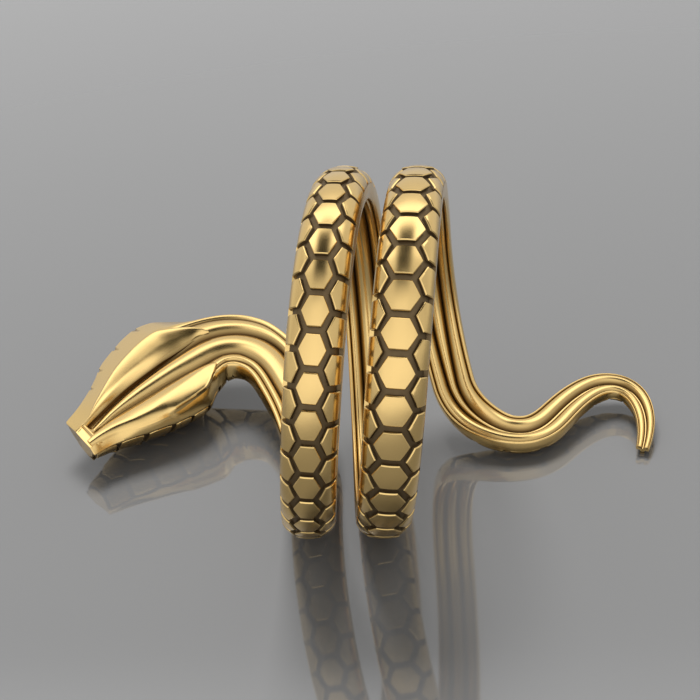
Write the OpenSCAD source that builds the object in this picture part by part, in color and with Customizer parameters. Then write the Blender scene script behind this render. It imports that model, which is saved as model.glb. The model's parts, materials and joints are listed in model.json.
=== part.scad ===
// Snake wrap ring: one cast piece, a scaled body that winds twice round the
// finger, with the head and the tail laid out flat to either side.
// Before it is set down, the finger hole runs along X, the head and the tail lie
// in the plane Z = 0, and the coil stands on that plane.

/* [Finger hole] */
// Inside diameter of the coil, finger size about US 7
finger_d = 17.4; // [16.8:0.1:18]
// Thickness of the body where it goes round the finger
band_t = 1.9; // [1.7:0.1:2.1]

/* [Coil] */
// How far round the finger the coil goes, from the neck to the tail, in degrees
coil_sweep = 684; // [680:1:688]
// Sideways travel of one turn
turn_pitch = 4.18; // [3.9:0.02:4.6]
// How far the coil sways from an even helix
sway = 0.33; // [0:0.01:0.4]
// Angle of the coil at which the sway starts
sway_from = 64; // [50:1:80]
// Extra sideways travel at the end of the coil
tail_drift = 0.95; // [0.8:0.05:1.2]
// Angle of the coil over which the extra travel builds up
tail_drift_angle = 64; // [50:1:80]

/* [Neck and head] */
// Length of the neck and head together, from the coil to the snout
neck_length = 25.9; // [25.4:0.1:26.4]
// How far the flat end of the snout is turned from square, cut back on the far side
snout_skew = 20; // [10:1:30]
// Heading of the neck where it leaves the coil
neck_heading = 97; // [94:1:101]

/* [Tail] */
// Length of the tail, from the coil to its tip
tail_length = 20.2; // [19.5:0.1:20.8]

/* [Scales] */
// Depth of the grooves between the scales
groove_depth = 0.22; // [0.1:0.01:0.3]
// Half the width of a groove at its floor
groove_half = 0.15; // [0.1:0.01:0.18]
// Width of the slope from a scale down to the groove floor
bevel = 0.06; // [0.03:0.01:0.08]

/* [Rest] */
// Tilt along the finger at which the ring rests, head end down
rest_pitch = 3.27; // [0:0.01:6]
// Roll about the finger at which the ring rests
rest_roll = 9.92; // [0:0.01:14]

/* [Hidden] */

gold = "#d9b36c";

// Radius of the middle of the body's thickness, round the finger
mid_r = finger_d / 2 + band_t / 2;
// Quarters of a scale along the neck, the coil and the tail; their sum makes whole scales
neck_quarters = 61;
coil_quarters = 263;
tail_quarters = 48;
quarter_angle = coil_sweep / coil_quarters;
quarter = mid_r * quarter_angle * PI / 180;
pitch = 4 * quarter;
neck_step = neck_length / neck_quarters;
tail_step = tail_length / tail_quarters;
neck_scales = neck_quarters / 4;
scales = (neck_quarters + coil_quarters + tail_quarters) / 4;
// The coil's sideways place where the neck joins it
coil_start_x = -8.87;

// Bends of the neck, from the coil to the snout: length along it, degrees a millimetre
NECK_BENDS = [
    [0, 5],
    [3.9, 4],
    [7.7, -3],
    [10.6, 13],
    [13.5, 23.5],
    [16.4, 1.5],
    [20.2, 3.3],
    [26.1, 0.6],
];

// Bends of the tail, from the coil to the tip: length along it, degrees a millimetre
TAIL_BENDS = [
    [0, 16.5],
    [3.6, 8.3],
    [6.6, 26],
    [9.1, -1.9],
    [11.6, -8],
    [14.1, -38.8],
    [16.6, -11],
    [20.6, -3.3],
];

// Cross-sections, from the snout to the tip of the tail. Columns:
// 0 place in scales from the snout
// 1 half width on the side of the nearer cheek, 2 half width on the other side
// 3 level of the widest line, 4 height of the scaled dome over it
// 5 and 6 edge of the inner face: share of the half width, level
// 7 and 8 crest of the rim or jaw: share of the half width, level
// 9 and 10 groove beside the middle rib: share of the half width, level
// 11 level of the middle rib
// Levels grow towards the scaled side and are counted from the spine.
NEAR = 1;
FAR = 2;
WIDEST = 3;
DOME = 4;
EDGE = 5;
CREST = 7;
GROOVE = 9;
RIB = 11;
SECTIONS = [
    [0,    1.95, 2.15, -0.05, 1.45, 0.86, -0.55, 0.55, -0.80, 0.16, -0.45, -0.50],
    [2,    2.90, 3.55, 0.05,  2.55, 0.74, -0.95, 0.52, -1.30, 0.14, -0.55, -0.80],
    [3.3,  3.70, 5.20, 0.15,  3.00, 0.70, -1.05, 0.50, -1.60, 0.16, -0.65, -1.00],
    [4.9,  4.30, 6.45, 0.20,  3.20, 0.68, -1.05, 0.46, -1.65, 0.22, -0.75, -1.15],
    [5.5,  4.00, 6.35, 0.20,  3.00, 0.70, -1.05, 0.46, -1.60, 0.25, -0.80, -1.15],
    [6,    3.15, 5.50, 0.10,  2.60, 0.74, -1.05, 0.50, -1.45, 0.30, -0.80, -1.15],
    [6.5,  2.60, 4.25, 0.00,  2.15, 0.80, -1.00, 0.60, -1.30, 0.36, -0.85, -1.15],
    [7.1,  2.25, 3.05, -0.05, 1.70, 0.87, -1.00, 0.70, -1.15, 0.44, -0.85, -1.15],
    [7.9,  2.15, 2.40, -0.1,  1.40, 0.94, -0.95, 0.78, -1.10, 0.50, -0.85, -1.15],
    [10.5, 2.05, 2.20, -0.1,  1.20, 0.94, -0.90, 0.78, -1.05, 0.48, -0.80, -1.10],
    [15,   1.65, 1.65, -0.1,  1.10, 0.94, -0.85, 0.78, -1.00, 0.45, -0.75, -1.00],
    [26,   1.46, 1.46, -0.1,  1.05, 0.94, -0.80, 0.76, -0.95, 0.42, -0.70, -0.95],
    [61,   1.52, 1.52, -0.1,  1.05, 0.94, -0.80, 0.76, -0.95, 0.38, -0.70, -0.95],
    [77.5, 1.38, 1.48, -0.1,  0.98, 0.94, -0.75, 0.76, -0.88, 0.34, -0.65, -0.86],
    [81.5, 1.28, 1.48, -0.1,  0.96, 0.94, -0.72, 0.74, -0.85, 0.28, -0.60, -0.80],
    [84,   1.22, 1.34, -0.1,  0.92, 0.94, -0.68, 0.70, -0.80, 0.16, -0.55, -0.52],
    [88.3, 0.98, 1.02, -0.05, 0.75, 0.94, -0.55, 0.60, -0.66, 0.12, -0.42, -0.38],
    [91.5, 0.60, 0.60, -0.05, 0.55, 0.94, -0.40, 0.58, -0.50, 0.12, -0.30, -0.28],
    [93,   0.40, 0.40, -0.05, 0.42, 0.94, -0.28, 0.58, -0.36, 0.12, -0.20, -0.18],
];

// Scale pattern across the dome, from the snout to the tip of the tail:
// place in scales, half width of a middle cell at its points and at its ends,
// both as shares of the way from the crown to the widest line
CELLS = [
    [0,  0.44, 0.22],
    [15, 0.42, 0.21],
    [26, 0.42, 0.21],
    [61, 0.52, 0.25],
    [93, 0.52, 0.25],
];
// Where the outer edge of a side scale lies, as the same kind of share
cell_edge = 0.94;
// Foot of the middle rib, as a share of the way out to the groove beside it
rib_foot = 0.7;

function row_value(table, col, at) = lookup(at, [for (row = table) [row[0], row[col]]]);
function unit(v) = v / norm(v);
function smooth(t) = t * t * (3 - 2 * t);
function clamp01(t) = min(1, max(0, t));

// Place along the finger of the coil's middle line, and its change with the angle
function coil_extra(a) = tail_drift * pow(max(0, a - coil_sweep + tail_drift_angle) / tail_drift_angle, 2);
function coil_x(a) =
    coil_start_x + turn_pitch * a / 360 + sway * (sin(a - sway_from) + sin(sway_from)) + coil_extra(a);
function coil_point(a) = [coil_x(a), -mid_r * sin(a), mid_r * (1 - cos(a))];
function coil_normal(a) = [0, -sin(a), -cos(a)];

// Points of a curve in the plane from its bends: [x, y, heading] at every quarter scale
function bend_walk(bends, x, y, heading, count, step) = [
    for (
        i = 0, px = x, py = y, h = heading;
        i <= count;
        turn = step * lookup((i + 0.5) * step, bends),
        px = px + step * cos(h + turn / 2),
        py = py + step * sin(h + turn / 2),
        h = h + turn,
        i = i + 1
    ) [px, py, h]
];

neck_walk = bend_walk(NECK_BENDS, coil_start_x, 0, neck_heading, neck_quarters, neck_step);
neck_points = [for (i = [neck_quarters:-1:1]) [neck_walk[i][0], neck_walk[i][1], 0]];

coil_points = [for (i = [0:coil_quarters]) coil_point(i * quarter_angle)];

// The tail runs on from the coil's end and sinks to the plane in a parabola
coil_end = coil_points[coil_quarters];
// A short way back along the coil, in degrees, gives its heading there
look_back = 0.5;
end_step = coil_end - coil_point(coil_sweep - look_back);
end_slope = -end_step[2] / norm([end_step[0], end_step[1]]);
landing = 2 * coil_end[2] / end_slope;
tail_heading = atan2(end_step[1], end_step[0]);
tail_walk = bend_walk(TAIL_BENDS, coil_end[0], coil_end[1], tail_heading, tail_quarters, tail_step);
tail_points = [
    for (i = [1:tail_quarters])
        [tail_walk[i][0], tail_walk[i][1], coil_end[2] * pow(max(0, 1 - i * tail_step / landing), 2)]
];

SPINE = concat(neck_points, coil_points, tail_points);
last = len(SPINE) - 1;

function spine_tangent(i) = unit(SPINE[min(last, i + 1)] - SPINE[max(0, i - 1)]);
// Which way the scaled side faces: down on the neck and tail, outwards on the coil
function facing(i) =
    let (
        a = (i - neck_quarters) * quarter_angle,
        past = (i - neck_quarters - coil_quarters) * tail_step / landing
    )
    a <= 0 ? [0, 0, -1]
    : past <= 0 ? coil_normal(a)
    : unit(coil_normal(coil_sweep) * (1 - smooth(clamp01(past))) + [0, 0, -1] * smooth(clamp01(past)));
function square_to(v, t) = unit(v - (v * t) * t);

TANGENTS = [for (i = [0:last]) spine_tangent(i)];
NORMALS = [for (i = [0:last]) square_to(facing(i), TANGENTS[i])];
ACROSS = [for (i = [0:last]) cross(NORMALS[i], TANGENTS[i])];

function mix_list(list, u) =
    let (q = clamp01(u / scales) * last, i = min(last - 1, floor(q)), f = q - i)
    list[i] * (1 - f) + list[i + 1] * f;

// Scales behind the snout over which its skewed end fades out
skew_scales = 3;
// A point of the body: place u in scales, distance across, level over the spine
function place(u, across, level) =
    mix_list(SPINE, u) + across * mix_list(ACROSS, u) + level * mix_list(NORMALS, u)
    - across * tan(snout_skew) * clamp01(1 - u / skew_scales) * mix_list(TANGENTS, u);

// A point of the scaled dome: v runs from -1 to 1 across it
function dome_point(u, v, depth) =
    let (
        w = row_value(SECTIONS, v > 0 ? NEAR : FAR, u) - depth,
        widest = row_value(SECTIONS, WIDEST, u),
        dome = row_value(SECTIONS, DOME, u) - depth
    )
    place(u, w * sin(90 * v), widest + dome * cos(90 * v));

// The half width of the dome in millimetres along its curve, for the pattern
function dome_half(u) =
    let (width = row_value(SECTIONS, NEAR, u) / 2 + row_value(SECTIONS, FAR, u) / 2)
    PI / 4 * (width + row_value(SECTIONS, DOME, u));

// Where a scale's slanted side and corner lie when it is drawn in by d millimetres
function slant(u) =
    let (run = dome_half(u) * (row_value(CELLS, 1, u) - row_value(CELLS, 2, u)) / (pitch / 2))
    sqrt(1 + run * run) / dome_half(u);
function lean(u) = row_value(CELLS, 1, u) - row_value(CELLS, 2, u);

// Scales are snapped to the cut ends of the body
end_snap = 0.2;
function snap_u(u) = u < end_snap ? 0 : u > scales - end_snap ? scales : u;

function middle_scale(k, d, depth) =
    let (
        a = row_value(CELLS, 1, k) - d * slant(k),
        h = 0.5 - d / pitch,
        c = a - lean(k) * 2 * h,
        outline = [[h, -c], [h, c], [0, a], [-h, c], [-h, -c], [0, -a]]
    )
    [for (p = outline) dome_point(snap_u(k + p[0]), p[1], depth)];

// The side scale after the middle scale k, on the side given by s, from its inner
// point round. The floor has no point halfway along the outer edge.
function side_scale(k, s, d, depth, top) =
    let (
        m = k + 0.5,
        c = row_value(CELLS, 2, m) + d * slant(m),
        h = 0.5 - d / pitch,
        a = c + lean(m) * 2 * h,
        halfway = (a + cell_edge) / 2,
        outer = top ? [[h, cell_edge], [0, cell_edge], [-h, cell_edge]] : [[h, cell_edge], [-h, cell_edge]],
        outline = concat([[0, c], [h, a], [h, halfway]], outer, [[-h, halfway], [-h, a]])
    )
    [for (p = outline) dome_point(snap_u(m + p[0]), s * p[1], depth)];

// The inner face, from one edge to the other
function inner_ring(u) =
    let (
        e = row_value(SECTIONS, EDGE, u),
        e_level = row_value(SECTIONS, EDGE + 1, u),
        r = row_value(SECTIONS, CREST, u),
        r_level = row_value(SECTIONS, CREST + 1, u),
        g = row_value(SECTIONS, GROOVE, u),
        g_level = row_value(SECTIONS, GROOVE + 1, u),
        c_level = row_value(SECTIONS, RIB, u),
        side = [
            [e, e_level],
            [r, r_level],
            [(r + 2 * g) / 3, (2 * r_level + g_level) / 3],
            [g, g_level],
            [g * rib_foot, (2 * c_level + g_level) / 3],
        ],
        near = row_value(SECTIONS, NEAR, u),
        far = row_value(SECTIONS, FAR, u)
    )
    concat(
        [for (p = side) place(u, near * p[0], p[1])],
        [place(u, 0, c_level)],
        [for (i = [4:-1:0]) place(u, -far * side[i][0], side[i][1])]
    );

// Points of one scale pitch: the middle scale's floor and top, the two side
// scales' floors and tops, then the inner face at the scale and, where the body
// bends sharply, halfway to the next one
RING = 11;
MID_FLOOR = 0;
MID_TOP = 6;
SIDE_FLOOR = 12;
SIDE_TOP = 26;
FACE = 42;
bend_from = neck_scales + 1;
bend_to = floor((neck_quarters + coil_quarters) / 4) - 2;
function has_halfway(k) = k < scales && (k < bend_from || k > bend_to);
function block_size(k) = (k < scales ? FACE : SIDE_FLOOR) + RING * (has_halfway(k) ? 2 : 1);
function face_start(k) = k < scales ? FACE : SIDE_FLOOR;

BLOCKS = [for (k = 0, at = 0; k <= scales + 1; at = at + block_size(k), k = k + 1) at];

function block_points(k) =
    concat(
        middle_scale(k, groove_half, groove_depth),
        middle_scale(k, groove_half + bevel, 0),
        k < scales ? concat(
            side_scale(k, 1, groove_half, groove_depth, false),
            side_scale(k, -1, groove_half, groove_depth, false),
            side_scale(k, 1, groove_half + bevel, 0, true),
            side_scale(k, -1, groove_half + bevel, 0, true)
        ) : [],
        inner_ring(k),
        has_halfway(k) ? inner_ring(k + 0.5) : []
    );

// How far the middle of the snout's end stands out, and its level
snout_bulge = 0.25;
snout_level = 0.1;
function all_points() = concat(
    [for (k = [0:scales]) each block_points(k)],
    [
        place(0, 0, snout_level) - snout_bulge * TANGENTS[0],
        place(scales, 0, 0),
    ]
);

// Index of a point: of the middle scale, of a side scale's floor or top, of the inner face
function mf(k, i) = BLOCKS[k] + MID_FLOOR + i % 6;
function mt(k, i) = BLOCKS[k] + MID_TOP + i % 6;
// Floor points of a side scale are numbered as its top points are, without number 4
function sf(k, s, i) = BLOCKS[k] + SIDE_FLOOR + (s > 0 ? 0 : 7) + (i > 4 ? i - 1 : i);
function st(k, s, i) = BLOCKS[k] + SIDE_TOP + (s > 0 ? 0 : 8) + i;
function face(k, half, i) = BLOCKS[k] + face_start(k) + (half ? RING : 0) + i;
function edge(k, half, s) = face(k, half, s > 0 ? 0 : RING - 1);

function quad(a, b, c, d) = [[a, b, c], [a, c, d]];
function turned(faces, s) = s > 0 ? faces : [for (f = faces) [f[0], f[2], f[1]]];

function middle_faces(k) = concat(
    [for (i = [0:3]) [mt(k, 0), mt(k, i + 1), mt(k, i + 2)]],
    [for (i = [0:5]) each quad(mf(k, i), mf(k, i + 1), mt(k, i + 1), mt(k, i))]
);

function side_faces(k, s) = concat(
    [
        [st(k, s, 0), st(k, s, 1), st(k, s, 7)],
        [st(k, s, 2), st(k, s, 3), st(k, s, 4)],
        [st(k, s, 2), st(k, s, 4), st(k, s, 6)],
        [st(k, s, 4), st(k, s, 5), st(k, s, 6)],
    ],
    quad(st(k, s, 1), st(k, s, 2), st(k, s, 6), st(k, s, 7)),
    [
        for (e = [[0, 1], [1, 2], [2, 3], [5, 6], [6, 7], [7, 0]])
            each quad(sf(k, s, e[0]), sf(k, s, e[1]), st(k, s, e[1]), st(k, s, e[0]))
    ]
);

// Points 1, 2 and 3 of the middle scale on the side s: end corner, side point, other corner
function m_corner(k, s) = mf(k, s > 0 ? 1 : 0);
function m_side(k, s) = mf(k, s > 0 ? 2 : 5);
function m_back(k, s) = mf(k, s > 0 ? 3 : 4);

function floor_faces(k, s) = concat(
    [[m_corner(k, s), m_back(k + 1, s), sf(k, s, 0)]],
    quad(m_corner(k, s), sf(k, s, 0), sf(k, s, 7), m_side(k, s)),
    quad(m_back(k + 1, s), m_side(k + 1, s), sf(k, s, 1), sf(k, s, 0)),
    k == 0 ? [] : concat(
        [[m_side(k, s), sf(k, s, 7), sf(k - 1, s, 1)]],
        quad(sf(k - 1, s, 1), sf(k, s, 7), sf(k, s, 6), sf(k - 1, s, 2)),
        quad(sf(k - 1, s, 2), sf(k, s, 6), sf(k, s, 5), sf(k - 1, s, 3))
    )
);

// The plain side wall between the scales and the inner face
function wall_faces(k, s) = concat(
    k == 0 ? [] : [[sf(k - 1, s, 3), sf(k, s, 5), edge(k, false, s)]],
    [
        [sf(k, s, 5), st(k, s, 5), edge(k, false, s)],
        [st(k, s, 5), st(k, s, 4), edge(k, false, s)],
        [st(k, s, 4), st(k, s, 3), edge(k + 1, false, s)],
        [st(k, s, 3), sf(k, s, 3), edge(k + 1, false, s)],
    ],
    has_halfway(k) ? [
        [st(k, s, 4), edge(k, true, s), edge(k, false, s)],
        [st(k, s, 4), edge(k + 1, false, s), edge(k, true, s)],
    ] : [[st(k, s, 4), edge(k + 1, false, s), edge(k, false, s)]]
);

function face_band(k, from_half, to_k, to_half) = [
    for (i = [0:RING - 2])
        each quad(
            face(k, from_half, i),
            face(to_k, to_half, i),
            face(to_k, to_half, i + 1),
            face(k, from_half, i + 1)
        )
];
function face_faces(k) =
    has_halfway(k)
        ? concat(face_band(k, false, k, true), face_band(k, true, k + 1, false))
        : face_band(k, false, k + 1, false);

// Outlines of the two cut ends, from the inner face round the scaled side
function snout_loop() = concat(
    [for (i = [RING - 1:-1:0]) face(0, false, i)],
    [sf(0, 1, 5), sf(0, 1, 6), sf(0, 1, 7)],
    [for (i = [2:5]) mf(0, i)],
    [sf(0, -1, 7), sf(0, -1, 6), sf(0, -1, 5)]
);
function tip_loop() = concat(
    [for (i = [0:RING - 1]) face(scales, false, i)],
    [sf(scales - 1, -1, 3), sf(scales - 1, -1, 2), sf(scales - 1, -1, 1)],
    [for (i = [5, 0, 1, 2]) mf(scales, i)],
    [sf(scales - 1, 1, 1), sf(scales - 1, 1, 2), sf(scales - 1, 1, 3)]
);
function cap(loop, hub) = [for (i = [0:len(loop) - 1]) [hub, loop[(i + 1) % len(loop)], loop[i]]];

function all_faces(hub) = concat(
    [for (k = [0:scales]) each middle_faces(k)],
    [
        for (k = [0:scales - 1], s = [1, -1])
            each turned(concat(side_faces(k, s), floor_faces(k, s), wall_faces(k, s)), s)
    ],
    [for (k = [0:scales - 1]) each quad(mf(k, 0), mf(k + 1, 4), mf(k + 1, 3), mf(k, 1))],
    [for (k = [0:scales - 1]) each face_faces(k)],
    cap(snout_loop(), hub),
    cap(tip_loop(), hub + 1)
);

// The ring set down: tilted until it rests, moved over the origin, lowest point at 0
function rolled(p) = [
    p[0],
    p[1] * cos(rest_roll) - p[2] * sin(rest_roll),
    p[1] * sin(rest_roll) + p[2] * cos(rest_roll)
];
function pitched(p) = [
    p[0] * cos(rest_pitch) + p[2] * sin(rest_pitch),
    p[1],
    p[2] * cos(rest_pitch) - p[0] * sin(rest_pitch)
];
set_down = [for (p = all_points()) pitched(rolled(p))];
function low(axis) = min([for (p = set_down) p[axis]]);
function high(axis) = max([for (p = set_down) p[axis]]);
shift = [-(low(0) + high(0)) / 2, -(low(1) + high(1)) / 2, -low(2)];

module snake() {
    hub = BLOCKS[scales + 1];
    color(gold)
        polyhedron(
            points = [for (p = set_down) p + shift],
            faces = [for (f = all_faces(hub)) [f[0], f[2], f[1]]],
            convexity = 12
        );
}

snake();
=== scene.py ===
# %% [markdown]
# # A snake that wraps twice round the finger
# The ring is one casting in 18 carat yellow gold. The snake's body winds round
# the finger, and its flat head and thin tail lie out to the two sides.
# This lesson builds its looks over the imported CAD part, in the CAD's own frame,
# so that the picture and the solid show the same ring.

import json
import math
from functools import partial

import bmesh
import bpy
import numpy as np
from mathutils import Matrix, Vector

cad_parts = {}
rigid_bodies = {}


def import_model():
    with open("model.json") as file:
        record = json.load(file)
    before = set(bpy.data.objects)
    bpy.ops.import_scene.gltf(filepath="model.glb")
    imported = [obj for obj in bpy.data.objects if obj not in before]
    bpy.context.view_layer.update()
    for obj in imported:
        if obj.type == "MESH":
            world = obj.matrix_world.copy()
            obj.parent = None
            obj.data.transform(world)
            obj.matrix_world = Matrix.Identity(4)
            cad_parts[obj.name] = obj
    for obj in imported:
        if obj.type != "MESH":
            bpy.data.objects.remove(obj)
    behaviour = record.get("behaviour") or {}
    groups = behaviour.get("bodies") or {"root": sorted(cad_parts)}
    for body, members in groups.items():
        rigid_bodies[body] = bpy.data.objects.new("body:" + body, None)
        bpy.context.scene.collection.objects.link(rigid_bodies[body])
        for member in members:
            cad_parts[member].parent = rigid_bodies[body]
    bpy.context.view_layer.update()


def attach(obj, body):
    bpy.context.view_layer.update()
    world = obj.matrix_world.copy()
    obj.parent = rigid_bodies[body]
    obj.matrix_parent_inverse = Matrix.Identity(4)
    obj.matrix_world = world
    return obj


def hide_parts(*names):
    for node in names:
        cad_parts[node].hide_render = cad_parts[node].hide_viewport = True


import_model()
MM = 0.001

# %% [markdown]
# ## The line that the body follows
# A goldsmith would lay this body down as one long tapering strip and bend it.
# Along it the place is counted in scales: 0 at the snout, 93 at the tip of the
# tail. The neck and the tail bend flat over the table, and the coil between them
# is a helix with a slight sway. The two could be drawn as free curves, but a walk
# that turns a little at each step is easier to fit, one bend after the other.

# %% Sizes of the coil, the neck and the tail, in millimetres and degrees
FINGER_D = 17.4
BAND_T = 1.9
MID_R = FINGER_D / 2 + BAND_T / 2
COIL_SWEEP = 684
TURN_PITCH = 4.18
SWAY, SWAY_FROM = 0.33, 64
TAIL_DRIFT, TAIL_DRIFT_ANGLE = 0.95, 64
COIL_START_X = -8.87
NECK_LENGTH, NECK_HEADING = 26.2, 96.8
TAIL_LENGTH = 20.2
NECK_SCALES, COIL_SCALES, TAIL_SCALES = 15.25, 65.75, 12
SCALES = NECK_SCALES + COIL_SCALES + TAIL_SCALES
STEPS = 16  # points of the line in one scale
PITCH = MID_R * math.radians(COIL_SWEEP) / COIL_SCALES
print("scales:", int(SCALES), "in a row, each", round(PITCH, 2), "mm long on the coil")

# %% Bends of the neck and the tail
# Millimetres from the coil, then the bend there in degrees a millimetre
NECK_BENDS = [
    [0, 3.1], [3.9, 3.5], [7.7, 0.1], [10.6, 12.5], [12.6, 18.5], [14.6, 17], [16.4, 2.4], [20.2, 3.2],
    [26.1, 1.1],
]
TAIL_BENDS = [
    [0, 16.5], [3.6, 8.3], [6.6, 26], [9.1, -1.9], [11.6, -8], [14.1, -38.8], [16.6, -11], [20.6, -3.3],
]


def bend_walk(bends, x, y, heading, length, count):
    """Points [x, y] of a curve in the plane that starts at x, y with a heading in degrees."""
    step = length / count
    bends = np.array(bends)
    turns = step * np.interp((np.arange(count) + 0.5) * step, bends[:, 0], bends[:, 1])
    headings = np.radians(heading + np.cumsum(turns) - turns / 2)
    xs = x + step * np.cumsum(np.cos(headings))
    ys = y + step * np.cumsum(np.sin(headings))
    return np.c_[np.r_[x, xs], np.r_[y, ys]]


print("bends:", len(NECK_BENDS), "for the neck and", len(TAIL_BENDS), "for the tail")


# %% The middle of the coil
def coil_point(a):
    """Middle of the body at the angle a of the coil, in millimetres."""
    r = np.radians(a)
    drift = np.maximum(0, a - COIL_SWEEP + TAIL_DRIFT_ANGLE) / TAIL_DRIFT_ANGLE
    swing = np.sin(r - math.radians(SWAY_FROM)) + math.sin(math.radians(SWAY_FROM))
    x = COIL_START_X + TURN_PITCH * a / 360 + SWAY * swing + TAIL_DRIFT * drift**2
    return np.stack([x, -MID_R * np.sin(r), MID_R * (1 - np.cos(r))], axis=-1)


angle = np.linspace(0, COIL_SWEEP, int(COIL_SCALES * STEPS) + 1)
coil = coil_point(angle)
print("coil:", round(float(np.ptp(coil[:, 0])), 1), "mm from its first turn to its last")


# %% The whole line, and the way that the scales face
LAST_BIT = 0.5  # degrees of the coil that show which way its end is heading


def unit(v):
    return v / np.linalg.norm(v, axis=-1, keepdims=True)


def smooth(t):
    t = np.clip(t, 0, 1)
    return t * t * (3 - 2 * t)


def body_line():
    """The line, and the way that the scaled side faces, at every step."""
    neck = bend_walk(NECK_BENDS, COIL_START_X, 0, NECK_HEADING, NECK_LENGTH, int(NECK_SCALES * STEPS))
    neck = np.c_[neck[:0:-1], np.zeros(len(neck) - 1)]
    end = coil[-1]
    back = end - coil_point(np.array([COIL_SWEEP - LAST_BIT]))[0]
    landing = -2 * end[2] * np.hypot(back[0], back[1]) / back[2]
    heading = math.degrees(math.atan2(back[1], back[0]))
    tail = bend_walk(TAIL_BENDS, end[0], end[1], heading, TAIL_LENGTH, int(TAIL_SCALES * STEPS))[1:]
    run = np.arange(1, len(tail) + 1) * TAIL_LENGTH / len(tail)
    tail = np.c_[tail, end[2] * np.clip(1 - run / landing, 0, 1) ** 2]
    r = np.radians(angle)
    out = np.stack([0 * r, -np.sin(r), -np.cos(r)], axis=-1)
    down = np.array([0.0, 0.0, -1.0])
    blend = smooth(run / landing)[:, None]
    facing = np.vstack([np.tile(down, (len(neck), 1)), out, unit(out[-1] * (1 - blend) + down * blend)])
    return np.vstack([neck, coil, tail]), facing


LINE, facing = body_line()
TANGENT = unit(np.gradient(LINE, axis=0))
NORMAL = unit(facing - (facing * TANGENT).sum(1, keepdims=True) * TANGENT)
ACROSS = np.cross(NORMAL, TANGENT)
PLACES = np.arange(len(LINE)) / STEPS
length = float(np.linalg.norm(np.diff(LINE, axis=0), axis=1).sum())
print("body line:", len(LINE), "points,", round(length, 1), "mm long")

# %% [markdown]
# ## How wide and how thick it is
# The cross-section changes along the body: small at the snout, wide and flat at
# the cheeks, then an even band that thins out to the tip. The tables hold it at
# a few places, and a curve that never overshoots runs through them. The same
# shape could be pushed out of a smooth mesh by hand, but a table is easier to set
# against a photograph, one place after the other.
# "Near" is the side that the picture sees first, and "far" is the other.
# Rises are measured from the line of the body towards the finger.

# %% Widths and domes along the body, in millimetres
# Place, half width near, half width far, level of the widest line, height of the scaled dome
SECTIONS = [
    [0, 1.35, 2.40, -0.05, 1.30],
    [0.7, 1.75, 2.60, -0.03, 1.75],
    [1.6, 2.55, 3.10, 0.02, 2.30],
    [2.6, 3.45, 3.95, 0.08, 2.72],
    [3.3, 3.88, 4.80, 0.12, 2.92],
    [4, 4.02, 5.50, 0.15, 3.05],
    [4.6, 4.06, 6.05, 0.16, 3.10],
    [5.1, 3.92, 6.32, 0.16, 3.02],
    [5.6, 3.36, 6.12, 0.13, 2.75],
    [6, 2.92, 5.45, 0.10, 2.35],
    [6.4, 2.68, 4.50, 0.02, 2.00],
    [7.1, 2.50, 3.42, -0.05, 1.60],
    [7.9, 2.38, 2.95, -0.1, 1.38],
    [8.5, 2.25, 2.58, -0.1, 1.30],
    [9.5, 2.04, 2.32, -0.1, 1.24],
    [10.8, 1.92, 2.12, -0.1, 1.20],
    [13.5, 1.80, 1.80, -0.1, 1.14],
    [15, 1.65, 1.65, -0.1, 1.10],
    [26, 1.46, 1.46, -0.1, 1.05],
    [61, 1.52, 1.52, -0.1, 1.05],
    [77.5, 1.38, 1.48, -0.1, 0.98],
    [81.5, 1.28, 1.48, -0.1, 0.96],
    [84, 1.22, 1.34, -0.1, 0.92],
    [88.3, 0.98, 1.02, -0.05, 0.75],
    [91.5, 0.60, 0.60, -0.05, 0.55],
    [93, 0.40, 0.40, -0.05, 0.42],
]
print("sections:", len(SECTIONS), "places from", SECTIONS[0][0], "to", SECTIONS[-1][0])

# %% The pattern of the scales, and where the side walls begin
# Scale pattern: place, half width of a middle scale at its side points and at its
# ends, as shares of the way from the crown to the widest line
CELLS = [[0, 0.44, 0.22], [15, 0.42, 0.21], [26, 0.42, 0.21], [61, 0.52, 0.25], [93, 0.52, 0.25]]
# Place, where the side wall begins, where the side scales end, how far the wall reaches
# in between two side scales, and how much flatter than an ellipse the flanks are
EDGES = [
    [0, 0.955, 0.888, 0.046, 1.35], [5.6, 0.955, 0.888, 0.046, 1.35], [6.5, 0.968, 0.972, 0, 1],
    [79, 0.968, 0.972, 0, 1], [83, 0.90, 0.905, 0, 1], [93, 0.90, 0.905, 0, 1],
]
print("side scales end", EDGES[0][2], "of the way out on the head and", EDGES[2][2], "on the coil")


# %% A smooth curve through a table
def run_through(table, at):
    """Columns of the table at the places, along a smooth curve that never overshoots."""
    table = np.array(table, float)
    x, y = table[:, 0], table[:, 1:]
    gap = np.diff(x)[:, None]
    slope = np.diff(y, axis=0) / gap
    lower, upper = slope[:-1], slope[1:]
    same = lower * upper > 0
    w_low, w_up = 2 * gap[1:] + gap[:-1], gap[1:] + 2 * gap[:-1]
    safe_low, safe_up = np.where(same, lower, 1), np.where(same, upper, 1)
    inner = np.where(same, (w_low + w_up) / (w_low / safe_low + w_up / safe_up), 0)
    tangent = np.vstack([slope[:1], inner, slope[-1:]])
    i = np.clip(np.searchsorted(x, at, side="right") - 1, 0, len(x) - 2)
    h = gap[i]
    t = (np.asarray(at)[:, None] - x[i][:, None]) / h
    return (
        y[i] * (1 + 2 * t) * (1 - t) ** 2
        + y[i + 1] * t**2 * (3 - 2 * t)
        + h * tangent[i] * t * (1 - t) ** 2
        + h * tangent[i + 1] * t**2 * (t - 1)
    )


section = run_through(SECTIONS, PLACES)
cells = run_through(CELLS, PLACES)
edges = run_through(EDGES, PLACES)
print("widest:", round(float(section[:, 0].max() + section[:, 1].max()), 2), "mm across the cheeks")

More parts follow.
